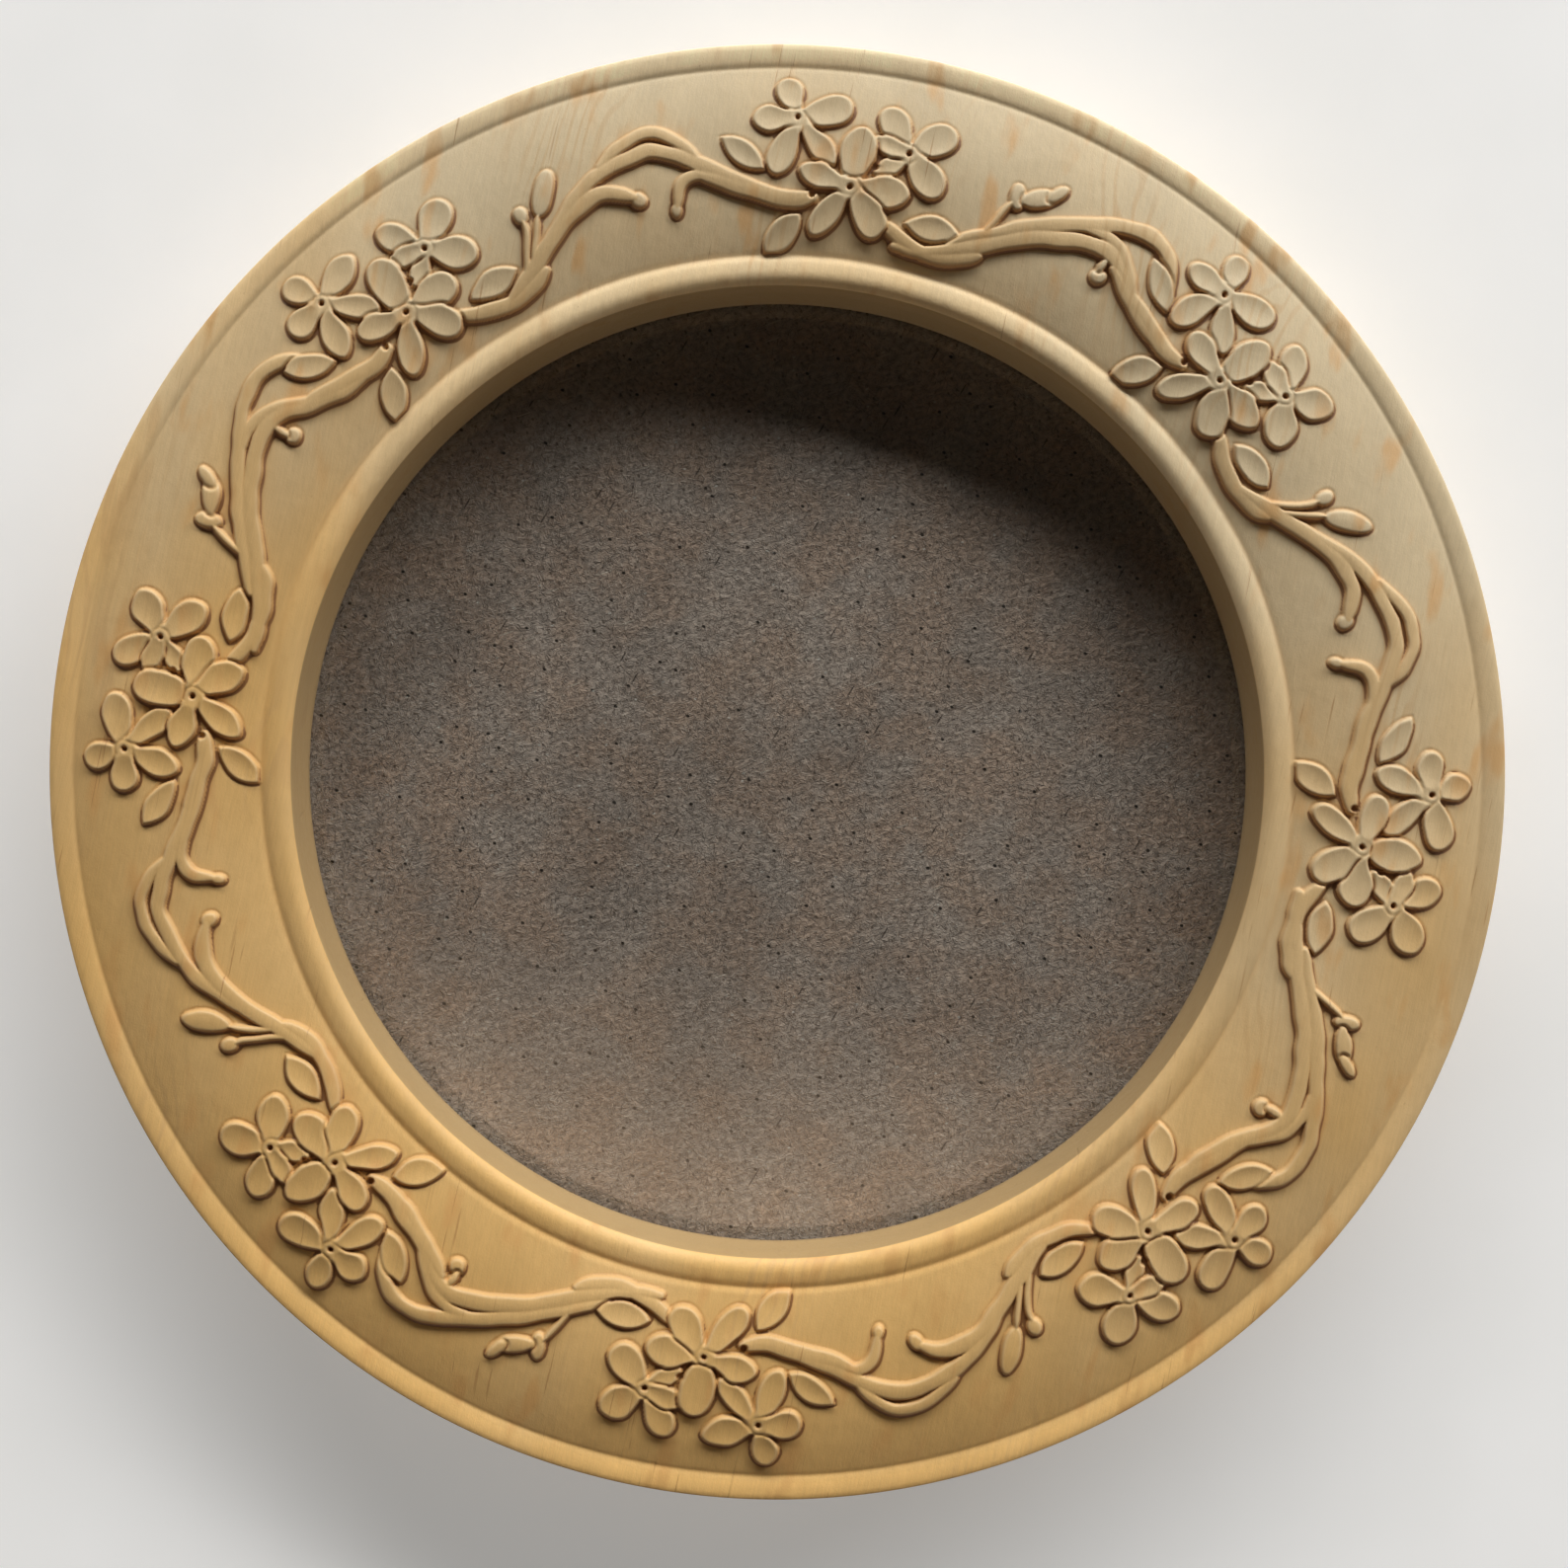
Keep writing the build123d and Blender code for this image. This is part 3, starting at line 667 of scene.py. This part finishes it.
    # Paler on the crests: a painted highlight
    crest = arithmetic(tree, "MULTIPLY", attributes["crest"], crest_highlight_strength)
    colour = mixed(tree, crest, colour, crest_highlight_pine)
    # Reddish-brown on steep cut sides: partly cutter burn, partly painted shade
    side = arithmetic(tree, "MULTIPLY", attributes["side"], side_burn_and_shade_strength)
    colour = mixed(tree, side, colour, side_burn_and_shade_pine)
    colour = mixed(tree, between(tree, hollow_shade, 0.12, 0.60, 0.0, rubbed_and_shaded_strength), colour, rubbed_and_shaded_pine)
    scorch_and_shade = between(tree, hollow_shade, 0.50, 1.00, 0.0, scorch_and_shade_strength)
    colour = mixed(tree, scorch_and_shade, colour, scorched_and_shaded_pine)
    # The wall of the opening painted darker: painted shade
    wall = arithmetic(tree, "MULTIPLY", attributes["wall"], wall_shade_strength)
    colour = mixed(tree, wall, colour, wall_shade_pine)
    tree.links.new(colour, shader.inputs["Base Color"])
    tree.links.new(between(tree, fibre, 0.25, 0.75, 0.50, 0.64), shader.inputs["Roughness"])
    grit = noise(tree, stretched(tree, 0.22, 0.35, 0.22, grain_lean), 2.0)
    sanded = noise(tree, stretched(tree, 1.6, 3.2, 1.6, grain_lean), 2.0)
    uneven = arithmetic(tree, "ADD", fibre, arithmetic(tree, "MULTIPLY", grit, grit_share))
    uneven = arithmetic(tree, "ADD", uneven, arithmetic(tree, "MULTIPLY", sanded, sanded_share))
    uneven = arithmetic(tree, "SUBTRACT", uneven, streak)
    bumped(tree, shader, uneven, pine_unevenness)
    return material


pine_finish = pine()
ring_columns = np.concatenate([np.arange(columns), [0]])
ring_angles = column_angles[ring_columns]
ring_points = np.stack([outline[:, 0] * np.cos(ring_angles)[:, None],
                        outline[:, 0] * np.sin(ring_angles)[:, None],
                        ring_height[ring_columns]], axis=-1)
for number in range(ring_lengths):
    part = slice(number * columns_per_length, (number + 1) * columns_per_length + 1)
    own = ring_columns[part]
    piece = grid_piece(f"carved_ring_{number + 1}", ring_points[part], join_rows=True,
                       hollow=hollow[own], crest=crest[own], stem=stem[own], side=side[own],
                       bead=bead[own], wall=wall[own])
    piece.data.materials.append(pine_finish)
    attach(piece, "frame")
    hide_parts("carved_ring")

# The glass pane. A disc of clear float glass, its sharp edge taken off with a stone. It drops into
# the rebate from behind and rests against the lip.
pane_low, pane_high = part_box("glass_pane")
pane_radius = (pane_high.x - pane_low.x) / 2 / mm
pane_back, pane_front = pane_low.z / mm, pane_high.z / mm
seat_gap = 0.04
stone_edge = 0.35
pole_radius = 0.5
rim_share = 0.3
pane_rows, sheet_spokes = 24, 256
pane_ior = 1.75             # stands for the mirror of both faces, so that only the near one shines
dust_grey, dust_roughness = (0.42, 0.40, 0.37, 1), 0.8
glass_tint = (0.97, 0.985, 0.975, 1)


def disc_points(radius, back, front, edge, rows, spokes):
    """A round sheet: an outline of back face, eased edge and front face turned about Z, which puts
    each of its points at (radius * cos(angle), radius * sin(angle), height)."""
    steps = np.linspace(pole_radius, radius - edge, rows)
    ease = rim_share * edge
    rim = [(radius - ease, back + ease), (radius, back + edge), (radius, front - edge),
           (radius - ease, front - ease)]
    outline = np.concatenate([np.stack([steps, np.full(rows, back)], axis=1), rim,
                              np.stack([steps[::-1], np.full(rows, front)], axis=1)])
    angle = 2 * np.pi * np.arange(spokes)[:, None] / spokes
    return np.stack([outline[:, 0] * np.cos(angle), outline[:, 0] * np.sin(angle),
                     np.broadcast_to(outline[:, 1], (spokes, len(outline)))], axis=-1)


def clear_glass():
    """Clear glass that mirrors by its angle and lets the rest through, with a little dust."""
    material, tree, shader = new_material("float_glass")
    output = [node for node in tree.nodes if node.type == "OUTPUT_MATERIAL"][0]
    shader.inputs["Base Color"].default_value = dust_grey
    shader.inputs["Roughness"].default_value = dust_roughness
    smear = noise(tree, stretched(tree, 18, 30, 10), 3.0)
    clear = add(tree, "ShaderNodeBsdfTransparent", {"Color": glass_tint})
    polish = between(tree, smear, 0.4, 0.7, 0.02, 0.07)
    mirror = add(tree, "ShaderNodeBsdfGlossy", {"Roughness": polish})
    facing = add(tree, "ShaderNodeNewGeometry").outputs["Backfacing"]
    share = add(tree, "ShaderNodeFresnel", {"IOR": pane_ior}).outputs[0]
    share = arithmetic(tree, "MULTIPLY", share, arithmetic(tree, "SUBTRACT", 1.0, facing))
    glass = add(tree, "ShaderNodeMixShader", {0: share, 1: clear.outputs[0], 2: mirror.outputs[0]})
    motes = add(tree, "ShaderNodeTexVoronoi", {"Vector": stretched(tree, 2.2, 2.2, 2.2), "Scale": 1.0})
    dust = between(tree, motes.outputs["Distance"], 0.10, 0.05)
    dust = arithmetic(tree, "MULTIPLY", dust, between(tree, smear, 0.5, 0.7, 0.0, 0.35))
    dusty = add(tree, "ShaderNodeMixShader", {0: dust, 1: glass.outputs[0], 2: shader.outputs[0]})
    tree.links.new(dusty.outputs[0], output.inputs["Surface"])
    return material


pane_points = disc_points(pane_radius, pane_back + seat_gap, pane_front - seat_gap, stone_edge,
                          pane_rows, sheet_spokes)
pane = grid_piece("glass_pane_disc", pane_points, join_columns=True)
pane.data.materials.append(clear_glass())
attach(pane, "frame")
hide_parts("glass_pane")

# The backing board. A disc of grey-brown board pressed from waste paper, with hairs, chaff and
# specks in it, knife-cut and laid behind the pane.
board_low, board_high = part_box("backing_board")
board_radius = (board_high.x - board_low.x) / 2 / mm
cut_edge, board_rows = 0.25, 40
board_roughness, board_shine = 0.92, 0.25
nap_depth, pale_nap, dark_nap = 0.42, 0.3, 0.2
speck_core = 0.55
board_grey = (0.375, 0.300, 0.258, 1)
board_brown = (0.385, 0.277, 0.218, 1)
fibre_pale, fibre_dark = (0.58, 0.48, 0.42, 1), (0.10, 0.068, 0.052, 1)
speck_dark, speck_black = (0.08, 0.05, 0.035, 1), (0.02, 0.014, 0.01, 1)
hair_pale, hair_dark = (0.62, 0.52, 0.44, 1), (0.05, 0.035, 0.028, 1)
chaff_pale = (0.62, 0.57, 0.52, 1)


def greyboard():
    """Matt recycled board: a soft mottle with faint tints, short fibres that lie over each other, a
    few longer hairs, and dark specks and pale chaff."""
    material, tree, shader = new_material("greyboard")
    mottle = noise(tree, stretched(tree, 1.2, 0.9, 1.2, 0.3), 4.0, 0.62, 0.4)
    clouds = noise(tree, stretched(tree, 22, 22, 22), 3.0)
    tints = noise(tree, stretched(tree, 9, 9, 9, 0.0, (0.02, 0.05, 0)), 3.0)
    tone = between(tree, mottle, 0.32, 0.68, 0.72, 1.28)
    tone = arithmetic(tree, "MULTIPLY", tone, between(tree, clouds, 0.3, 0.7, 0.88, 1.12))
    toned = add(tree, "ShaderNodeCombineColor", {0: tone, 1: tone, 2: tone}).outputs[0]
    ground = mixed(tree, between(tree, tints, 0.36, 0.64), board_grey, board_brown)
    colour = mixed(tree, 1.0, ground, toned, "MULTIPLY")

    def fibres(leans, place):
        """Short straight fibres that lie in several directions over each other."""
        laid = 0.0
        for lean in leans:
            where = stretched(tree, 0.22, 1.7, 0.24, lean, place)
            laid = arithmetic(tree, "MAXIMUM", laid, between(tree, noise(tree, where, 1.0), 0.60, 0.72))
        return laid

    def specks(across, along, lean, place, reach, rarity):
        """Small ovals at the middles of a few cells."""
        where = stretched(tree, across, along, 1, lean, place)
        cells = add(tree, "ShaderNodeTexVoronoi", {"Vector": where, "Scale": 1.0},
                    voronoi_dimensions="2D")
        picked = add(tree, "ShaderNodeSeparateColor", {0: cells.outputs["Color"]}).outputs[0]
        spot_share = between(tree, cells.outputs["Distance"], reach, reach * speck_core)
        return arithmetic(tree, "MULTIPLY", spot_share, between(tree, picked, rarity, rarity + 0.01))

    pale_fibres = fibres((0.3, 1.3, 2.4), (0.03, 0.01, 0))
    dark_fibres = fibres((0.8, 1.9, 2.9), (0.01, 0.06, 0))
    dark_specks = specks(1.9, 2.6, 0.5, (0, 0.02, 0), 0.14, 0.50)
    black_specks = specks(5.0, 6.5, 1.1, (0.03, 0, 0), 0.065, 0.55)
    pale_chaff = specks(5.5, 4.0, 0.2, (0.04, 0.0, 0), 0.06, 0.70)
    pale_hairs = specks(0.55, 6.0, 1.9, (0.01, 0.02, 0), 0.30, 0.985)
    dark_hairs = specks(0.60, 4.5, 2.6, (0.02, 0.01, 0), 0.30, 0.985)
    # Each tint lies over the ones before it
    for share, strength, tint in [(pale_fibres, 0.40, fibre_pale),
                                  (dark_fibres, 0.48, fibre_dark),
                                  (dark_specks, 0.60, speck_dark),
                                  (black_specks, 0.95, speck_black),
                                  (dark_hairs, 0.80, hair_dark),
                                  (pale_chaff, 0.60, chaff_pale),
                                  (pale_hairs, 0.60, hair_pale)]:
        colour = mixed(tree, arithmetic(tree, "MULTIPLY", share, strength), colour, tint)
    tree.links.new(colour, shader.inputs["Base Color"])
    shader.inputs["Roughness"].default_value = board_roughness
    shader.inputs["Specular IOR Level"].default_value = board_shine
    nap = arithmetic(tree, "ADD", mottle, arithmetic(tree, "MULTIPLY", pale_fibres, pale_nap))
    nap = arithmetic(tree, "SUBTRACT", nap, arithmetic(tree, "MULTIPLY", dark_fibres, dark_nap))
    bumped(tree, shader, nap, nap_depth)
    return material


board_points = disc_points(board_radius, board_low.z / mm, board_high.z / mm, cut_edge,
                           board_rows, sheet_spokes)
board = grid_piece("backing_board_disc", board_points, join_columns=True)
board.data.materials.append(greyboard())
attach(board, "frame")
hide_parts("backing_board")

# The turn buttons, screws, hanger and nails. Stamped brass-plated tongues, each on a pan-head
# screw, and a zinc-plated toothed hanger on two nails, all on the shelf of the ring's back.
button_count = 4
brass_clean, brass_stained = (0.80, 0.58, 0.25, 1), (0.52, 0.33, 0.13, 1)
screw_clean, screw_stained = (0.78, 0.60, 0.32, 1), (0.50, 0.36, 0.18, 1)
zinc_clean, zinc_stained = (0.66, 0.66, 0.65, 1), (0.48, 0.47, 0.45, 1)
brass_roughness, screw_roughness, zinc_roughness = 0.27, 0.30, 0.26
brass_lay, screw_lay, zinc_lay = 0.4, 0.0, 1.57
drawn_line_depth = 0.01


def plated_metal(name, colour, stained, roughness, lay):
    """Thin plating over steel: drawn lines, faint stains and fine scratches."""
    material, tree, shader = new_material(name)
    stains = noise(tree, stretched(tree, 2.5, 2.5, 2.5), 4.0, 0.6)
    lines = noise(tree, stretched(tree, 0.12, 4.0, 0.12, lay), 3.0, 0.6)
    base = mixed(tree, between(tree, stains, 0.45, 0.75, 0.0, 0.6), colour, stained)
    tree.links.new(base, shader.inputs["Base Color"])
    shader.inputs["Metallic"].default_value = 1.0
    rough = arithmetic(tree, "ADD", between(tree, lines, 0.3, 0.7, roughness - 0.05, roughness + 0.07),
                       between(tree, stains, 0.4, 0.8, 0.0, 0.14))
    tree.links.new(rough, shader.inputs["Roughness"])
    bumped(tree, shader, lines, drawn_line_depth)
    return material


brass = plated_metal("brass_plate", brass_clean, brass_stained, brass_roughness, brass_lay)
screw_plate = plated_metal("screw_plate", screw_clean, screw_stained, screw_roughness, screw_lay)
zinc = plated_metal("zinc_plate", zinc_clean, zinc_stained, zinc_roughness, zinc_lay)
plated = [("sawtooth_hanger", zinc), ("hanger_nail_1", zinc), ("hanger_nail_2", zinc)]
for number in range(1, button_count + 1):
    plated += [(f"turn_button_{number}", brass), (f"turn_button_screw_{number}", screw_plate)]
for node, finish in plated:
    nodes[node].data.materials.clear()
    nodes[node].data.materials.append(finish)

# The table that the frame lies on: a plain sheet of pale matt laminate, slightly uneven in tone. It
# lies a hair below the back of the frame, and a little of its paleness is for the viewer alone.
floor_size = 3.0
floor_drop = 0.0003
table_grey, table_pale = (0.74, 0.735, 0.72, 1), (0.78, 0.775, 0.765, 1)
table_roughness = 0.85
sight_colour, sight_lift = (1.0, 1.0, 0.98, 1), 0.30


def rays_of_sight(tree):
    """1 for the rays that the viewer sees straight, in a mirror or through glass, else 0."""
    path = add(tree, "ShaderNodeLightPath").outputs
    share = arithmetic(tree, "MAXIMUM", path["Is Camera Ray"], path["Is Glossy Ray"])
    return arithmetic(tree, "MAXIMUM", share, path["Is Transmission Ray"])


def pale_table():
    """Pale matt laminate with a faint mottle."""
    material, tree, shader = new_material("pale_table")
    mottle = noise(tree, stretched(tree, 40, 40, 40), 3.0)
    colour = mixed(tree, between(tree, mottle, 0.3, 0.7), table_grey, table_pale)
    tree.links.new(colour, shader.inputs["Base Color"])
    shader.inputs["Roughness"].default_value = table_roughness
    shader.inputs["Emission Color"].default_value = sight_colour
    tree.links.new(arithmetic(tree, "MULTIPLY", rays_of_sight(tree), sight_lift),
                   shader.inputs["Emission Strength"])
    return material


floor_mesh = bpy.data.meshes.new("table_top")
reach = floor_size / 2
corners = [(-reach, -reach, -floor_drop), (reach, -reach, -floor_drop),
           (reach, reach, -floor_drop), (-reach, reach, -floor_drop)]
floor_mesh.from_pydata(corners, [], [(0, 1, 2, 3)])
floor = bpy.data.objects.new("table_top", floor_mesh)
floor.data.materials.append(pale_table())
bpy.context.scene.collection.objects.link(floor)

# The light. One wide soft window stands beyond the top of the frame, low enough for the carving to
# throw short shadows towards the bottom, and a weak warm fill comes from all round.
window_azimuth, window_elevation = np.radians([73, 27])
window_distance = 4.0
window_width, window_height = 7.2, 0.96
window_power = 282.0
aim = Vector((0, 0, 0.02))
window = bpy.data.lights.new("window", "AREA")
window.shape = "RECTANGLE"
window.size, window.size_y = window_width, window_height
window.energy = window_power
window_object = bpy.data.objects.new("window", window)
direction = Vector((np.cos(window_elevation) * np.cos(window_azimuth),
                    np.cos(window_elevation) * np.sin(window_azimuth), np.sin(window_elevation)))
window_object.location = aim + window_distance * direction
window_object.rotation_euler = direction.to_track_quat("Z", "Y").to_euler()
window_object.visible_camera = False
bpy.context.scene.collection.objects.link(window_object)

low_glow = 0.5
fill_colour = (1.0, 0.82, 0.62, 1)
horizon_colour, ceiling_colour = (0.92, 0.92, 0.91, 1), (0.02, 0.02, 0.02, 1)
card_colour, card_lift = (1.0, 0.70, 0.46, 1), 0.7
card_down, card_left = 0.95, 0.20


def studio_world():
    """A room with a dark ceiling: a warm glow low behind the viewer and a weak fill all round for the
    lit surfaces. For sight and reflections it has a pale horizon, and a warm card overhead that the
    pane mirrors along the lower edge of the board."""
    world = bpy.data.worlds.new("studio")
    world.use_nodes = True
    tree = world.node_tree
    tree.nodes.clear()
    up = add(tree, "ShaderNodeSeparateXYZ", {0: add(tree, "ShaderNodeTexCoord").outputs["Generated"]})
    low = between(tree, up.outputs["Z"], 0.20, 0.04)
    behind = between(tree, up.outputs["Y"], 0.45, -0.55)
    glow = arithmetic(tree, "MULTIPLY", arithmetic(tree, "MULTIPLY", low, behind), low_glow)
    soft = between(tree, up.outputs["Z"], 0.60, 0.15, 0.02, 0.18)
    fill = add(tree, "ShaderNodeBackground", {"Color": fill_colour,
                                              "Strength": arithmetic(tree, "ADD", glow, soft)})
    shade = between(tree, up.outputs["Z"], 0.35, 0.85)
    seen = mixed(tree, shade, horizon_colour, ceiling_colour)
    card = arithmetic(tree, "ADD", arithmetic(tree, "MULTIPLY", up.outputs["Y"], -card_down),
                      arithmetic(tree, "MULTIPLY", up.outputs["X"], -card_left))
    card = arithmetic(tree, "MULTIPLY", between(tree, card, 0.05, 0.20),
                      between(tree, up.outputs["Z"], 0.80, 0.92))
    seen = mixed(tree, card, seen, card_colour)
    lifted = arithmetic(tree, "ADD", 1.0, arithmetic(tree, "MULTIPLY", card, card_lift))
    sight = add(tree, "ShaderNodeBackground", {"Color": seen, "Strength": lifted})
    both = add(tree, "ShaderNodeMixShader", {0: rays_of_sight(tree), 1: fill.outputs[0],
                                             2: sight.outputs[0]})
    add(tree, "ShaderNodeOutputWorld", {"Surface": both.outputs[0]})
    return world


bpy.context.scene.world = studio_world()

# The camera. It looks straight down from arm's length, a little right of and below the middle of
# the frame.
camera_lens, camera_sensor, camera_near = 49.0, 36.0, 0.01
camera_place = 0.0011, -0.0020, 0.374
camera = bpy.data.cameras.new("camera")
camera.lens = camera_lens
camera.sensor_width = camera_sensor
camera.clip_start = camera_near
camera_object = bpy.data.objects.new("camera", camera)
camera_object.location = camera_place
bpy.context.scene.collection.objects.link(camera_object)
bpy.context.scene.camera = camera_object
bpy.context.scene.view_settings.view_transform = "Standard"
